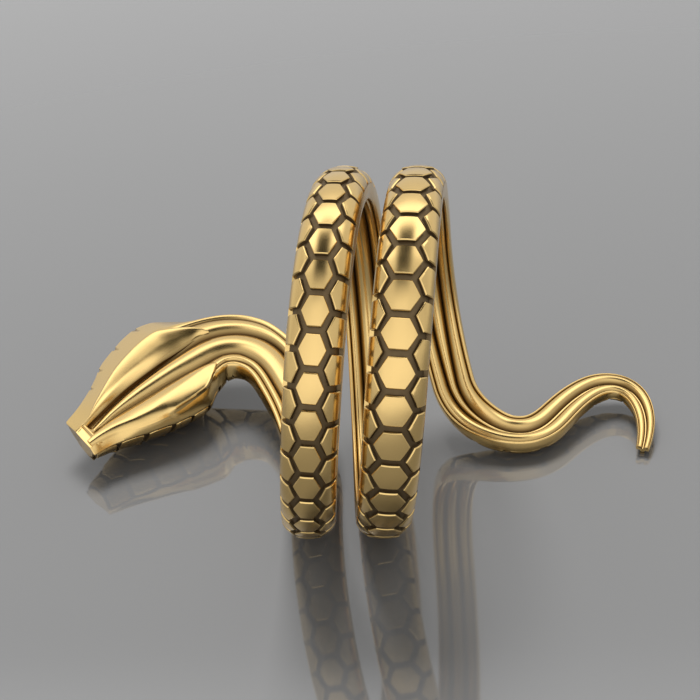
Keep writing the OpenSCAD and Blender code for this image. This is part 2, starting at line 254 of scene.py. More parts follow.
# %% [markdown]
# ## Setting the ring down
# The part is drawn with the finger hole level, then tilted a little until it
# rests on head, coil and tail, and moved over the origin. Every point goes through
# one function, so no object has to be moved or turned afterwards.

# %% From the level ring to the ring at rest
REST_PITCH, REST_ROLL = math.radians(3.27), math.radians(9.92)
SCALES_PROUD = 0.0445  # the rounded scales stand out this much more than the CAD's flat ones
SHIFT = np.array([6.2583596, -0.94259781, 0.80466606 + SCALES_PROUD])


def set_down(p):
    """Points in millimetres of the level ring, moved to where it rests, in metres."""
    x, y, z = np.moveaxis(np.asarray(p, float), -1, 0)
    roll_cos, roll_sin = math.cos(REST_ROLL), math.sin(REST_ROLL)
    pitch_cos, pitch_sin = math.cos(REST_PITCH), math.sin(REST_PITCH)
    y, z = y * roll_cos - z * roll_sin, y * roll_sin + z * roll_cos
    x, z = x * pitch_cos + z * pitch_sin, z * pitch_cos - x * pitch_sin
    return (np.stack([x, y, z], axis=-1) + SHIFT) * MM


ends = np.round(set_down(LINE[[0, -1]]) / MM, 1)
print("snout at", ends[0], "and tip at", ends[1], "mm")

# %% Points across the body
SNOUT_SKEW = math.tan(math.radians(20))  # the snout is cut off a little askew
SKEW_SCALES = 3  # and the scales behind it straighten up over this many places


def at_place(values, u):
    """Values of the line at any place between its steps."""
    u = np.asarray(u, float)
    flat = [np.interp(u.ravel(), PLACES, column).reshape(u.shape) for column in values.T]
    return np.stack(flat, axis=-1)


def place(u, across, level):
    """Points across the body: the place along it, millimetres sideways and towards the scales."""
    u, across, level = np.broadcast_arrays(u, across, level)
    lean = across * SNOUT_SKEW * np.clip(1 - u / SKEW_SCALES, 0, 1)
    return (
        at_place(LINE, u)
        + across[..., None] * at_place(ACROSS, u)
        + level[..., None] * at_place(NORMAL, u)
        - lean[..., None] * at_place(TANGENT, u)
    )


snout = place(np.zeros(2), np.array([SECTIONS[0][1], -SECTIONS[0][2]]), np.zeros(2))
print("snout:", round(float(np.linalg.norm(snout[0] - snout[1])), 2), "mm from corner to corner")

# %% [markdown]
# ## The inner face
# The side towards the finger is carved: a wide rounded rib in the middle, a
# groove on each side of it, a narrow rim, a fine cut line and an outer ridge.
# At the head the grooves run in under the jaws and meet at the snout. On the
# tail the middle rib ends in a fork and leaves two rims with one groove.
# A carver cuts these lines along the whole piece. Here each line has its own
# distance and rise in a table, and the cross-section is drawn through them.

# %% The near half of the head
# Place, then distance and rise in millimetres of: edge, outer ridge, cut line, rim, groove
HEAD_NEAR = [
    [0, 0.98, 0.40, 0.90, 0.38, 0.78, 0.37, 0.58, 0.36, 0.30, 0.35],
    [0.27, 1.12, 0.48, 1.00, 0.44, 0.82, 0.42, 0.60, 0.42, 0.30, 0.42],
    [0.32, 1.15, 0.49, 1.02, 0.55, 0.84, 0.56, 0.61, 0.56, 0.30, 0.56],
    [0.37, 1.18, 0.49, 1.04, 0.58, 0.86, 0.60, 0.61, 0.60, 0.30, 0.60],
    [0.42, 1.21, 0.48, 1.06, 0.55, 0.86, 0.56, 0.60, 0.57, 0.29, 0.57],
    [0.48, 1.26, 0.48, 1.08, 0.40, 0.86, 0.40, 0.58, 0.42, 0.27, 0.45],
    [0.6, 1.34, 0.46, 1.10, 0.26, 0.84, 0.24, 0.54, 0.28, 0.24, 0.32],
    [1, 1.70, 0.42, 1.40, 0.20, 1.10, 0.20, 0.70, 0.26, 0.38, 0.34],
    [2, 2.76, 0.38, 2.30, 0.15, 1.80, 0.15, 1.20, 0.25, 0.66, 0.37],
    [2.8, 3.38, 0.40, 2.90, 0.20, 2.30, 0.20, 1.60, 0.28, 0.92, 0.41],
    [3.4, 3.60, 0.46, 3.10, 0.30, 2.50, 0.30, 1.80, 0.34, 1.06, 0.45],
    [4.1, 3.64, 0.58, 3.20, 0.50, 2.60, 0.40, 1.90, 0.42, 1.16, 0.50],
    [5, 3.50, 0.72, 3.10, 0.75, 2.60, 0.60, 2.00, 0.54, 1.23, 0.56],
    [5.6, 3.10, 0.80, 2.84, 0.88, 2.52, 0.78, 2.12, 0.74, 1.28, 0.62],
    [6.1, 2.80, 0.83, 2.62, 0.98, 2.38, 0.88, 2.12, 0.96, 1.26, 0.68],
    [6.5, 2.62, 0.84, 2.48, 1.00, 2.24, 0.90, 2.04, 1.05, 1.20, 0.72],
    [7.1, 2.44, 0.85, 2.30, 1.01, 2.04, 0.91, 1.86, 1.09, 1.08, 0.76],
    [7.9, 2.31, 0.85, 2.14, 1.02, 1.86, 0.92, 1.68, 1.10, 0.98, 0.78],
    [9, 2.08, 0.85, 1.90, 1.02, 1.60, 0.93, 1.40, 1.09, 0.92, 0.78],
]
print("near half of the head:", len(HEAD_NEAR), "places")

# %% The far half of the head, in the same columns
HEAD_FAR = [
    [0, 0.95, 0.40, 0.86, 0.38, 0.74, 0.37, 0.55, 0.36, 0.30, 0.35],
    [0.27, 0.95, 0.48, 0.86, 0.44, 0.74, 0.42, 0.55, 0.42, 0.30, 0.42],
    [0.32, 0.95, 0.50, 0.86, 0.55, 0.74, 0.56, 0.55, 0.56, 0.30, 0.56],
    [0.37, 0.95, 0.50, 0.86, 0.58, 0.74, 0.60, 0.55, 0.60, 0.30, 0.60],
    [0.42, 0.94, 0.50, 0.85, 0.55, 0.72, 0.56, 0.53, 0.57, 0.29, 0.57],
    [0.48, 0.93, 0.50, 0.84, 0.40, 0.70, 0.40, 0.51, 0.41, 0.26, 0.44],
    [0.6, 0.93, 0.50, 0.80, 0.30, 0.66, 0.26, 0.48, 0.26, 0.20, 0.27],
    [1.44, 1.50, 0.70, 1.20, 0.30, 0.95, 0.25, 0.65, 0.26, 0.32, 0.30],
    [2.7, 2.40, 0.82, 1.90, 0.40, 1.40, 0.30, 0.80, 0.30, 0.50, 0.35],
    [3.84, 3.15, 0.90, 2.60, 0.55, 1.90, 0.40, 0.95, 0.36, 0.60, 0.40],
    [4.7, 3.62, 0.93, 3.00, 0.70, 2.30, 0.55, 1.20, 0.44, 0.74, 0.46],
    [5.1, 3.78, 0.95, 3.20, 0.85, 2.50, 0.70, 1.40, 0.56, 0.80, 0.49],
    [5.6, 3.80, 0.93, 3.30, 0.98, 2.78, 0.84, 1.60, 0.78, 0.90, 0.54],
    [6.1, 3.62, 0.88, 3.15, 1.02, 2.78, 0.90, 1.70, 0.96, 0.98, 0.60],
    [6.5, 3.34, 0.86, 3.02, 1.02, 2.74, 0.91, 1.78, 1.04, 1.04, 0.66],
    [7.1, 3.18, 0.85, 2.98, 1.02, 2.62, 0.92, 1.86, 1.08, 1.08, 0.72],
    [7.5, 3.06, 0.85, 2.90, 1.02, 2.50, 0.92, 1.84, 1.09, 1.08, 0.75],
    [8, 2.84, 0.85, 2.66, 1.02, 2.32, 0.93, 1.74, 1.10, 1.06, 0.77],
    [9, 2.36, 0.85, 2.16, 1.02, 1.88, 0.93, 1.52, 1.09, 1.00, 0.78],
]
# The middle rib: place, sideways place and rise of its crest
HEAD_RIB = [
    [0, 0.00, 0.35], [0.27, 0.02, 0.42], [0.32, 0.03, 0.56], [0.37, 0.04, 0.60], [0.42, 0.06, 0.57],
    [0.6, 0.10, 0.46], [1.5, 0.16, 0.62], [2.7, 0.24, 0.78], [3.8, 0.30, 0.90], [4.9, 0.26, 1.00],
    [5.8, 0.18, 1.08], [6.5, 0.06, 1.13], [7.3, -0.02, 1.16], [9, 0.00, 1.15],
]
print("far half of the head:", len(HEAD_FAR), "places, its rib", len(HEAD_RIB))

# %% The body behind the head
# Behind the neck: place, shares of the half width and rises of the same five, rise of the rib
BODY_FACE = [
    [8, 0.965, 0.85, 0.90, 1.02, 0.79, 0.88, 0.68, 1.10, 0.44, 0.70, 1.16],
    [10.5, 0.945, 0.84, 0.86, 1.00, 0.73, 0.86, 0.61, 1.06, 0.44, 0.66, 1.12],
    [15, 0.97, 0.82, 0.89, 0.95, 0.80, 0.80, 0.69, 1.00, 0.44, 0.60, 1.01],
    [26, 0.97, 0.79, 0.89, 0.91, 0.80, 0.74, 0.68, 0.945, 0.42, 0.52, 0.95],
    [61, 0.97, 0.79, 0.89, 0.91, 0.80, 0.74, 0.67, 0.945, 0.38, 0.50, 0.95],
    [77.5, 0.97, 0.74, 0.89, 0.84, 0.80, 0.68, 0.62, 0.88, 0.32, 0.46, 0.86],
    [81.5, 0.97, 0.71, 0.89, 0.81, 0.81, 0.66, 0.58, 0.86, 0.20, 0.42, 0.70],
    [83.6, 0.97, 0.67, 0.90, 0.76, 0.82, 0.62, 0.52, 0.81, 0.08, 0.38, 0.44],
    [85, 0.97, 0.63, 0.90, 0.71, 0.83, 0.58, 0.50, 0.76, 0.05, 0.34, 0.34],
    [88.3, 0.97, 0.53, 0.90, 0.58, 0.83, 0.48, 0.50, 0.65, 0.05, 0.28, 0.28],
    [91.5, 0.97, 0.36, 0.90, 0.41, 0.83, 0.34, 0.50, 0.48, 0.06, 0.22, 0.22],
    [93, 0.97, 0.24, 0.90, 0.28, 0.83, 0.24, 0.50, 0.33, 0.07, 0.15, 0.15],
]
HAND_OVER = (8, 9)  # the head's tables give way to the body's between these places
print("body behind the head:", len(BODY_FACE), "places")

# %% The edges of the jaws
# Place, then distance and rise of: outer foot, shoulder, crest, slope, inner edge
JAW_NEAR = [
    [0.05, 0.98, 0.42, 0.90, 0.54, 0.72, 0.62, 0.52, 0.60, 0.38, 0.46],
    [0.5, 1.30, 0.42, 1.20, 0.58, 0.94, 0.71, 0.62, 0.67, 0.34, 0.44],
    [1.08, 1.76, 0.42, 1.62, 0.62, 1.26, 0.77, 0.80, 0.70, 0.44, 0.46],
    [2.04, 2.84, 0.40, 2.62, 0.65, 2.10, 0.86, 1.34, 0.78, 0.72, 0.49],
    [2.8, 3.46, 0.46, 3.28, 0.74, 2.52, 0.98, 1.66, 0.87, 0.97, 0.54],
    [3.36, 3.72, 0.52, 3.64, 0.86, 2.54, 1.05, 1.74, 0.92, 1.10, 0.57],
    [4.36, 3.80, 0.70, 3.74, 1.00, 2.46, 1.14, 1.76, 0.98, 1.23, 0.63],
    [5, 3.72, 0.80, 3.67, 1.06, 2.34, 1.18, 1.74, 1.02, 1.27, 0.65],
    [5.4, 3.40, 0.88, 3.35, 1.10, 2.22, 1.21, 1.74, 1.05, 1.32, 0.69],
    [5.76, 2.92, 0.93, 2.86, 1.13, 2.12, 1.22, 1.74, 1.06, 1.38, 0.75],
    [6.1, 2.48, 0.98, 2.40, 1.13, 2.08, 1.19, 1.82, 1.08, 1.62, 0.90],
    [6.36, 2.10, 1.06, 2.06, 1.11, 2.04, 1.12, 2.00, 1.11, 1.97, 1.06],
]
JAW_FAR = [
    [0.28, 0.88, 0.48, 0.84, 0.58, 0.76, 0.64, 0.64, 0.59, 0.52, 0.46],
    [0.5, 0.86, 0.52, 0.80, 0.64, 0.70, 0.70, 0.60, 0.63, 0.52, 0.47],
    [1.44, 1.44, 0.72, 1.34, 0.86, 1.20, 0.93, 0.90, 0.82, 0.60, 0.49],
    [2.72, 2.32, 0.84, 2.24, 1.00, 2.08, 1.07, 1.42, 0.94, 0.76, 0.54],
    [3.84, 3.08, 0.92, 3.00, 1.10, 2.84, 1.17, 1.85, 1.02, 0.83, 0.60],
    [4.72, 3.56, 0.94, 3.48, 1.17, 3.32, 1.23, 2.15, 1.07, 0.97, 0.66],
    [5.12, 3.68, 0.94, 3.60, 1.20, 3.44, 1.25, 2.25, 1.10, 1.00, 0.69],
    [5.6, 3.34, 0.96, 3.24, 1.23, 3.08, 1.28, 2.10, 1.12, 1.07, 0.74],
    [6.12, 2.72, 0.98, 2.62, 1.22, 2.48, 1.26, 1.90, 1.13, 1.22, 0.82],
    [6.52, 2.00, 1.02, 1.92, 1.19, 1.80, 1.23, 1.60, 1.14, 1.38, 0.92],
    [6.7, 1.46, 1.08, 1.42, 1.13, 1.38, 1.14, 1.34, 1.13, 1.30, 1.06],
]
JAW_STARTS, JAW_RISES = 0.1, 0.3  # the head's edge meets a jaw's foot from here, over this length
JAW_LEAVES, JAW_PARTS = {1: 5.5, -1: 5.2}, 0.8  # and leaves it again from here
print("jaws end at", JAW_NEAR[-1][0], "and", JAW_FAR[-1][0])


# %% Where the carved lines run
def face_points(u, side):
    """Distance and rise of edge, ridge, cut line, rim and groove at the places u, and the rib."""
    first, last = HAND_OVER
    widths = run_through(SECTIONS, u)[:, 0 if side > 0 else 1]
    body = run_through(BODY_FACE, np.maximum(u, first))
    head = run_through(HEAD_NEAR if side > 0 else HEAD_FAR, np.minimum(u, last))
    share = smooth((u - first) / (last - first))[:, None]
    distance = head[:, 0::2] * (1 - share) + body[:, 0:10:2] * widths[:, None] * share
    rise = head[:, 1::2] * (1 - share) + body[:, 1:10:2] * share
    jaw_table = JAW_NEAR if side > 0 else JAW_FAR
    foot = run_through(jaw_table, np.clip(u, jaw_table[0][0], jaw_table[-1][0]))[:, :2]
    under = smooth((u - JAW_STARTS) / JAW_RISES) * (1 - smooth((u - JAW_LEAVES[side]) / JAW_PARTS))
    distance[:, 0] += (foot[:, 0] - distance[:, 0]) * under
    rise[:, 0] += (foot[:, 1] - rise[:, 0]) * under
    rib = run_through(HEAD_RIB, np.minimum(u, last))
    rib_place = rib[:, 0] * (1 - share[:, 0])
    rib_rise = rib[:, 1] * (1 - share[:, 0]) + body[:, 10] * share[:, 0]
    return distance, rise, rib_place, rib_rise


print("rib on the coil:", round(float(face_points(np.array([40.0]), 1)[3][0]), 2), "mm high")

# %% Crests between the lines
CREST_ROUNDING = 2.2  # 2 is a parabola, and more is fuller
RIDGE_POINTS, LINE_POINTS, RIB_POINTS = 3, 4, 7  # points up to the ridge, between lines, to the rib


def hump(low_at, low_rise, top_at, top_rise, count):
    """Points from a valley up to a rounded crest, leaving out the crest."""
    t = np.arange(count) / count
    at = low_at[:, None] + (top_at - low_at)[:, None] * t
    rise = low_rise[:, None] + (top_rise - low_rise)[:, None] * (1 - (1 - t) ** CREST_ROUNDING)
    return at, rise


def inner_half(u, side):
    """The carved face on one side, from the edge in to the foot of the rib's crest."""
    d, r, rib_at, rib_rise = face_points(u, side)
    edge, ridge, cut, rim, groove = ((d[:, i], r[:, i]) for i in range(5))
    rib = (side * rib_at, rib_rise)
    parts = [
        hump(*edge, *ridge, RIDGE_POINTS),
        [values[:, None] for values in ridge],
        [values[:, ::-1] for values in hump(*cut, *ridge, LINE_POINTS)],
        [values[:, 1:] for values in hump(*cut, *rim, LINE_POINTS)],
        [values[:, None] for values in rim],
        [values[:, ::-1] for values in hump(*groove, *rim, LINE_POINTS)],
        [values[:, 1:] for values in hump(*groove, *rib, RIB_POINTS)],
    ]
    return [np.hstack(values) for values in zip(*parts)]


print("carved face:", inner_half(PLACES, 1)[0].shape[1], "points on each side of the rib's crest")

# %% [markdown]
# ## The body
# One closed skin runs from the snout to the tip. Its scaled side is sunk by the
# depth of the grooves, because the scales are set on it afterwards. Beyond the
# outer ends of the side scales it comes up to the plain side wall.
# The rings of the skin are worked out with arrays, because thousands of points
# with a rule of their own are quicker to steer in numbers than with a tool.

# %% How fine the skin is, and how deep its cuts
GROOVE_DEPTH = 0.22
RINGS = 12  # rings of the skin in one scale
SNOUT_END, SNOUT_RINGS = 0.75, 48  # the snout has finer work, so its rings lie closer
NICK_DEPTH, NICK_PLACES = 0.26, (2, 5)  # saw nicks on the far cheek, one between two scales


def nick(u):
    """1 in the middle of a nick and 0 away from it."""
    first, last = NICK_PLACES
    near = np.maximum(0, 1 - np.abs(u - np.round(u)) * RINGS)
    return near * ((np.round(u) >= first) & (np.round(u) <= last))


places = np.arange(int(SNOUT_END * RINGS), int(SCALES * RINGS) + 1) / RINGS
places = np.r_[np.arange(0, SNOUT_END, 1 / SNOUT_RINGS), places]
print("rings:", len(places), "with", int((nick(places) == 1).sum()), "nicks")

# %% The side walls
WALL_SHARES = np.array([0.25, 0.5, 0.75])  # where the wall's points lie between foot and edge
NICKED_SHARES = np.array([0.1, 0.35, 0.7])  # closer to the foot where the nicks are
NICKED_TO, NICKED_FADE = 5.5, 1.5  # from here they even out, over this many scales
WALL_BULGE, BULGE_OVER = 0.035, 2  # how far the wall swells, and over how many scales that grows
TOOTH_FROM = 0.2  # so many scales from its middle a side scale's outer end starts to be cut back


def crown(u):
    """Half widths, widest line, dome, where the wall begins, and how flat the flanks are."""
    near_w, far_w, widest, dome = run_through(SECTIONS, u).T
    wall, _, tooth, flat = run_through(EDGES, u).T
    wall = wall - tooth * np.maximum(0, np.abs(u % 1 - 0.5) - TOOTH_FROM) / (0.5 - TOOTH_FROM)
    return near_w, far_w, widest, dome, wall, flat


def ring_half(u, side):
    """One side of the rings, from the wall's foot in to the rib: sideways places and levels."""
    near_w, far_w, widest, dome, wall, flat = crown(u)
    at, rise = inner_half(u, side)
    w = (near_w if side > 0 else far_w)[:, None]
    t = WALL_SHARES if side > 0 else NICKED_SHARES
    t = t + (WALL_SHARES - t) * smooth((u[:, None] - NICKED_TO) / NICKED_FADE)
    wall_at = w + (at[:, :1] - w) * t
    wall_rise = -widest[:, None] + (rise[:, :1] + widest[:, None]) * t
    bulge = WALL_BULGE * np.sin(np.pi * t) * smooth(u / BULGE_OVER)[:, None]
    if side < 0:
        w = w - NICK_DEPTH * nick(u)[:, None]
    v = np.stack([wall, (wall + 1) / 2, np.ones(len(u))], axis=1)
    foot_at = w * np.sin(np.pi / 2 * v)
    foot_level = widest[:, None] + dome[:, None] * np.abs(np.cos(np.pi / 2 * v)) ** flat[:, None]
    across = np.hstack([foot_at, wall_at + bulge, at])
    return side * across, np.hstack([foot_level, -wall_rise, -rise])


print("half a ring:", ring_half(PLACES, 1)[0].shape[1], "points from the wall's foot to the rib")

# %% The sunk floor under the scales, and whole rings
FLOOR_POINTS = 23
FLOOR_GAP = 0.024  # how far the sunk floor ends before the wall, on the coil
FLOOR_EDGE = 0.004  # and a little more everywhere, so that the step has a width
HEAD_FLATNESS = 0.35  # what the flatness on the head is above 1


def sunk_floor(u):
    """The floor from the near wall to the far wall: sideways places and levels."""
    near_w, far_w, widest, dome, wall, flat = crown(u)
    end = wall - FLOOR_GAP * (1 - (flat - 1) / HEAD_FLATNESS) - FLOOR_EDGE
    v = end[:, None] * np.linspace(1, -1, FLOOR_POINTS)
    w = np.where(v > 0, near_w[:, None], far_w[:, None]) - GROOVE_DEPTH
    level = widest[:, None] + (dome[:, None] - GROOVE_DEPTH) * np.cos(np.pi / 2 * v) ** flat[:, None]
    return w * np.sin(np.pi / 2 * v), level


def body_rings(u):
    """Rings of points round the body: floor, far half, crest of the rib, near half."""
    floor_at, floor_level = sunk_floor(u)
    near, far = ring_half(u, 1), ring_half(u, -1)
    rib_at, rib_rise = face_points(u, 1)[2:]
    across = np.hstack([floor_at, far[0], rib_at[:, None], near[0][:, ::-1]])
    level = np.hstack([floor_level, far[1], -rib_rise[:, None], near[1][:, ::-1]])
    return place(u[:, None], across, level)


rings = body_rings(places)
print("rings of the body:", rings.shape[0], "with", rings.shape[1], "points each")


# %% A closed skin over rings
BODY_CAP = (0.06, 0.07)  # the body's ends are drawn in by this share and stand out these millimetres


def skin(name, rings, cap=None):
    """A closed mesh over rings of points in millimetres. A cap rounds its two ends."""
    rows = list(rings)
    if cap:
        drawn_in, out_by = cap
        ends = []
        for end, inward in ((0, 1), (-1, -2)):
            hub = rings[end].mean(0)
            out = unit(rings[end] - rings[inward]).mean(0)
            ends.append(hub + (rings[end] - hub) * (1 - drawn_in) + out * out_by)
        rows = [ends[0], *rows, ends[1]]
    n, size = len(rows), rings.shape[1]
    faces = []
    for i in range(n - 1):
        for j in range(size):
            k = (j + 1) % size
            faces.append((i * size + j, i * size + k, (i + 1) * size + k, (i + 1) * size + j))
    faces.append(tuple(range(size))[::-1])
    faces.append(tuple(range((n - 1) * size, n * size)))
    mesh = bpy.data.meshes.new(name)
    mesh.from_pydata(set_down(np.vstack(rows)).tolist(), [], faces)
    mesh.validate()
    piece = bpy.data.objects.new(name, mesh)
    bpy.context.scene.collection.objects.link(piece)
    return piece


body = skin("snake_body", rings, BODY_CAP)
print("body:", len(body.data.vertices), "points,", len(body.data.polygons), "faces")

# %% Painted shade in the cut line, the groove and the nicks
# How much painted shade, a dark brown for the shade that falls in the recesses, lies on the
# points of half a ring, from the wall's foot in to the rib: all of it in the cut line and in the groove
SHADE_IN_HALF = [0] * 12 + [0.35, 1, 0.35, 0, 0, 0, 0, 0.15, 0.6, 1, 0.55, 0.2, 0.05, 0, 0, 0]
SHADE_FROM, SHADE_OVER = 0.5, 0.2  # the painted shade fades in from here over this length, so the snout has none
# Painted shade in a saw nick, on its first points from the wall's foot in
SHADE_IN_NICK = [1, 1, 1, 0.7]


def write_painted_shade(piece, left):
    """Writes the share of painted shade on every point of a piece, for its material to read."""
    skin_left = piece.data.attributes.new("skin_left", "FLOAT", "POINT")
    skin_left.data.foreach_set("value", left.astype(np.float32).ravel())


half = np.array(SHADE_IN_HALF)
left = smooth((places - SHADE_FROM) / SHADE_OVER)[:, None] * np.r_[np.zeros(FLOOR_POINTS), half, 0, half[::-1]]
left[:, FLOOR_POINTS : FLOOR_POINTS + len(SHADE_IN_NICK)] = nick(places)[:, None] * SHADE_IN_NICK
write_painted_shade(body, np.vstack([left[:1] * 0, left, left[-1:]]))
print("cast metal on", int((left > 0).sum()), "points of the body")

# %% [markdown]
# ## The jaws
# Two long leaves lie on the head, one on each side of the rib. Each one climbs
# from the groove to a rounded crest, falls off to the cheek, and runs out to a
# sharp tip that stands over the neck. They are shells of their own here because
# the tips overhang the rims of the neck, which come out from under them.

# %% A leaf through the jaw's table
JAW_STEPS, JAW_POINTS = 18, 25  # rings of a jaw in one scale, and points over its top
JAW_TAPER = 0.9  # the last scales of a jaw, in which it thins out
JAW_SUNK, TIP_SUNK = 0.28, 0.02  # how deep its underside is buried, along it and at its tip
FOOT_DRAWN = 0.1  # how far its outer foot is drawn in under it
SHADE_AT_FOOT = [0.1, 0.25, 0.5, 0.9, 1]  # painted shade on the last points of the inner foot, in the crease by the groove
SHADOW_ON_LIP, LIP_SHADOW_OVER = [1, 0.7, 0.2], 0.5  # and a painted shadow line on the first ones of the outer lip, fading in over this length


def across_curve(at, rise, count):
    """A smooth curve across through the five points of each row."""
    out = []
    for a, r in zip(at, rise):
        t = np.r_[0, np.hypot(np.diff(a), np.diff(r)).cumsum()]
        t = t / t[-1]
        out.append(run_through(np.c_[t, a, r], np.linspace(0, 1, count)))
    return np.array(out)


def jaw(name, table, side, shadow_line_from):
    """A closed leaf over the table's places, with its underside buried in the head."""
    start, end = table[0][0], table[-1][0]
    u = np.linspace(start, end, int((end - start) * JAW_STEPS))
    rows = run_through(table, u)
    top = across_curve(rows[:, 0::2], rows[:, 1::2], JAW_POINTS)
    full = smooth((end - u) / JAW_TAPER)[:, None]
    outer, inner = top[:, :1].copy(), top[:, -1:].copy()
    for foot in (outer, inner):
        foot[:, :, 1] -= JAW_SUNK * full + TIP_SUNK
    outer[:, :, 0] -= FOOT_DRAWN * full
    ring = np.concatenate([top, inner, outer], axis=1)
    # Painted shade in the crease at the inner foot, and a painted shadow line under the outer lip
    left = np.zeros(ring.shape[:2])
    last = JAW_POINTS + 1
    left[:, last - len(SHADE_AT_FOOT) : last] = SHADE_AT_FOOT
    left[:, : len(SHADOW_ON_LIP)] = smooth((u - shadow_line_from) / LIP_SHADOW_OVER)[:, None] * SHADOW_ON_LIP
    leaf = skin(name, place(u[:, None], side * ring[:, :, 0], -ring[:, :, 1]))
    write_painted_shade(leaf, left)
    return leaf


jaws = [jaw("snake_jaw_near", JAW_NEAR, 1, shadow_line_from=5.5), jaw("snake_jaw_far", JAW_FAR, -1, shadow_line_from=4)]
print("jaws:", [len(piece.data.vertices) for piece in jaws], "points")

# %% [markdown]
# ## The scales
# On the real ring the scales are cut into the metal: a row of six-sided scales
# along the crown and a row of cut ones on each side. Here one small set of three
# tiles is made once, with its sizes written on its points, and Geometry Nodes
# lays it down once in every scale pitch and wraps it round the body. Nearly 280
# scales could be modelled one by one, but a rule keeps them even.
# The ruler is a straight line that carries the body's line and widths.

# %% One tile, in millimetres
TILE_GRID = 10
SINK = 0.06  # how far a tile reaches down into the floor
# Inset and lift of the tile's outline, from its foot up over the rounded edge
EDGE_STEPS = [(0.150, -GROOVE_DEPTH - SINK), (0.152, -0.056), (0.172, -0.022)]
TOP_INSET = 0.202
TILE_VALUES = ("along", "across", "inset", "lift", "kind")


def tile(kind):
    """Points (along, across, inset, lift, kind), faces, and how many of them are cut sides."""
    n = TILE_GRID
    points, faces = [], []
    for i in range(n + 1):
        for j in range(n + 1):
            points.append((i * 2 / n - 1, j * 2 / n - 1, TOP_INSET, 0.0, kind))
    for i in range(n):
        for j in range(n):
            a = i * (n + 1) + j
            faces.append((a, a + 1, a + n + 2, a + n + 1))
    rim = [(0, j) for j in range(n)] + [(i, n) for i in range(n)]
    rim += [(n, j) for j in range(n, 0, -1)] + [(i, 0) for i in range(n, 0, -1)]
    last = [i * (n + 1) + j for i, j in rim]
    for inset, lift in reversed(EDGE_STEPS):
        ring = list(range(len(points), len(points) + len(rim)))
        points += [(i * 2 / n - 1, j * 2 / n - 1, inset, lift, kind) for i, j in rim]
        for k in range(len(rim)):
            m = (k + 1) % len(rim)
            faces.append((last[m], last[k], ring[k], ring[m]))
        last = ring
    faces.append(tuple(last[::-1]))
    return points, faces, len(rim) + 1


print("tile:", len(tile(0)[0]), "points,", len(tile(0)[1]), "faces")

# %% The set of three tiles
# The tiles' steep walls down into the grooves get painted shade, a dark brown for the shade
# there. The outer end of a side scale runs on into the wall on the coil, so it gets none
# there, but on the head a gap lies before it and its end gets the same painted shade
WALL_SHADE, END_SHADE, HEAD_ROWS = 1.0, 0.45, 6.5
APART = 3  # the three tiles of the template lie side by side


def tile_set():
    """One middle tile and a side tile on each side, as a template mesh."""
    points, faces, cut = [], [], []
    for kind in (0, 1, -1):
        more, more_faces, cut_faces = tile(kind)
        faces += [tuple(v + len(points) for v in f) for f in more_faces]
        points += more
        sides = [WALL_SHADE] * cut_faces
        if kind:
            sides[TILE_GRID : 2 * TILE_GRID] = [END_SHADE] * TILE_GRID
        cut += [0.0] * (len(more_faces) - cut_faces) + sides
    mesh = bpy.data.meshes.new("tile_set")
    mesh.from_pydata([(p[0], p[1], p[4] * APART) for p in points], [], faces)
    data = np.array(points, np.float32)
    for column, name in enumerate(TILE_VALUES):
        mesh.attributes.new(name, "FLOAT", "POINT").data.foreach_set("value", data[:, column].copy())
    mesh.attributes.new("cut", "FLOAT", "FACE").data.foreach_set("value", cut)
    return bpy.data.objects.new("tile_set", mesh)


tiles = tile_set()
print("tile set:", len(tiles.data.vertices), "points,", len(tiles.data.polygons), "faces")


# %% The ruler
def ruler():
    """A straight line of length SCALES that carries the body's values on its points."""
    mesh = bpy.data.meshes.new("ruler")
    mesh.from_pydata([(u, 0, 0) for u in PLACES], [(i, i + 1) for i in range(len(PLACES) - 1)], [])
    # How much narrower a middle scale is at its ends, the millimetres from the crown to
    # the widest line, and what a millimetre of inset takes off across a slanted side
    lean = cells[:, 0] - cells[:, 1]
    half = np.pi / 4 * ((section[:, 0] + section[:, 1]) / 2 + section[:, 3])
    slant = np.sqrt(1 + (half * lean / (PITCH / 2)) ** 2) / half
    skewed = ACROSS - (SNOUT_SKEW * np.clip(1 - PLACES / SKEW_SCALES, 0, 1))[:, None] * TANGENT
    origin = set_down(np.zeros(3))
    # Each value is a vector, so a pair repeats its last number
    columns = {
        "line": set_down(LINE),
        "sideways": (set_down(skewed) - origin) / MM,
        "outward": (set_down(NORMAL) - origin) / MM,
        "widths": section[:, :3],
        "dome": np.c_[section[:, 3], edges[:, 3], edges[:, 3]],
        "edge": np.c_[edges[:, 1], edges[:, 2], edges[:, 2]],
        "cell": np.c_[cells[:, 0], lean, slant],
    }
    for name, values in columns.items():
        data = np.ascontiguousarray(values, np.float32).ravel()
        mesh.attributes.new(name, "FLOAT_VECTOR", "POINT").data.foreach_set("vector", data)
    return bpy.data.objects.new("ruler", mesh)


ruler_piece = ruler()
print("ruler:", len(ruler_piece.data.vertices), "points over", int(SCALES), "scales")

# %% [markdown]
# The node tree reads as a recipe. Points in a row, one for each scale, take the
# tile set. Each point of a tile then finds its place along the body, how far
# out it lies across the crown, and the spot on the body's surface there.

# %% One small function for nodes, and the recipe's inputs
def node(tree, kind, *inputs, **settings):
    """Adds a node with its settings and links, and gives its first output.

    A kind in capitals is an operation of the Math node.
    """
    if kind.isupper():
        kind, settings = "ShaderNodeMath", {"operation": kind}
    made = tree.nodes.new(kind)
    for name, value in settings.items():
        setattr(made, name, value)
    for socket, value in zip(made.inputs, inputs):
        if isinstance(value, bpy.types.NodeSocket):
            tree.links.new(value, socket)
        elif value is not None:
            socket.default_value = value
    return made.outputs[0] if made.outputs else made


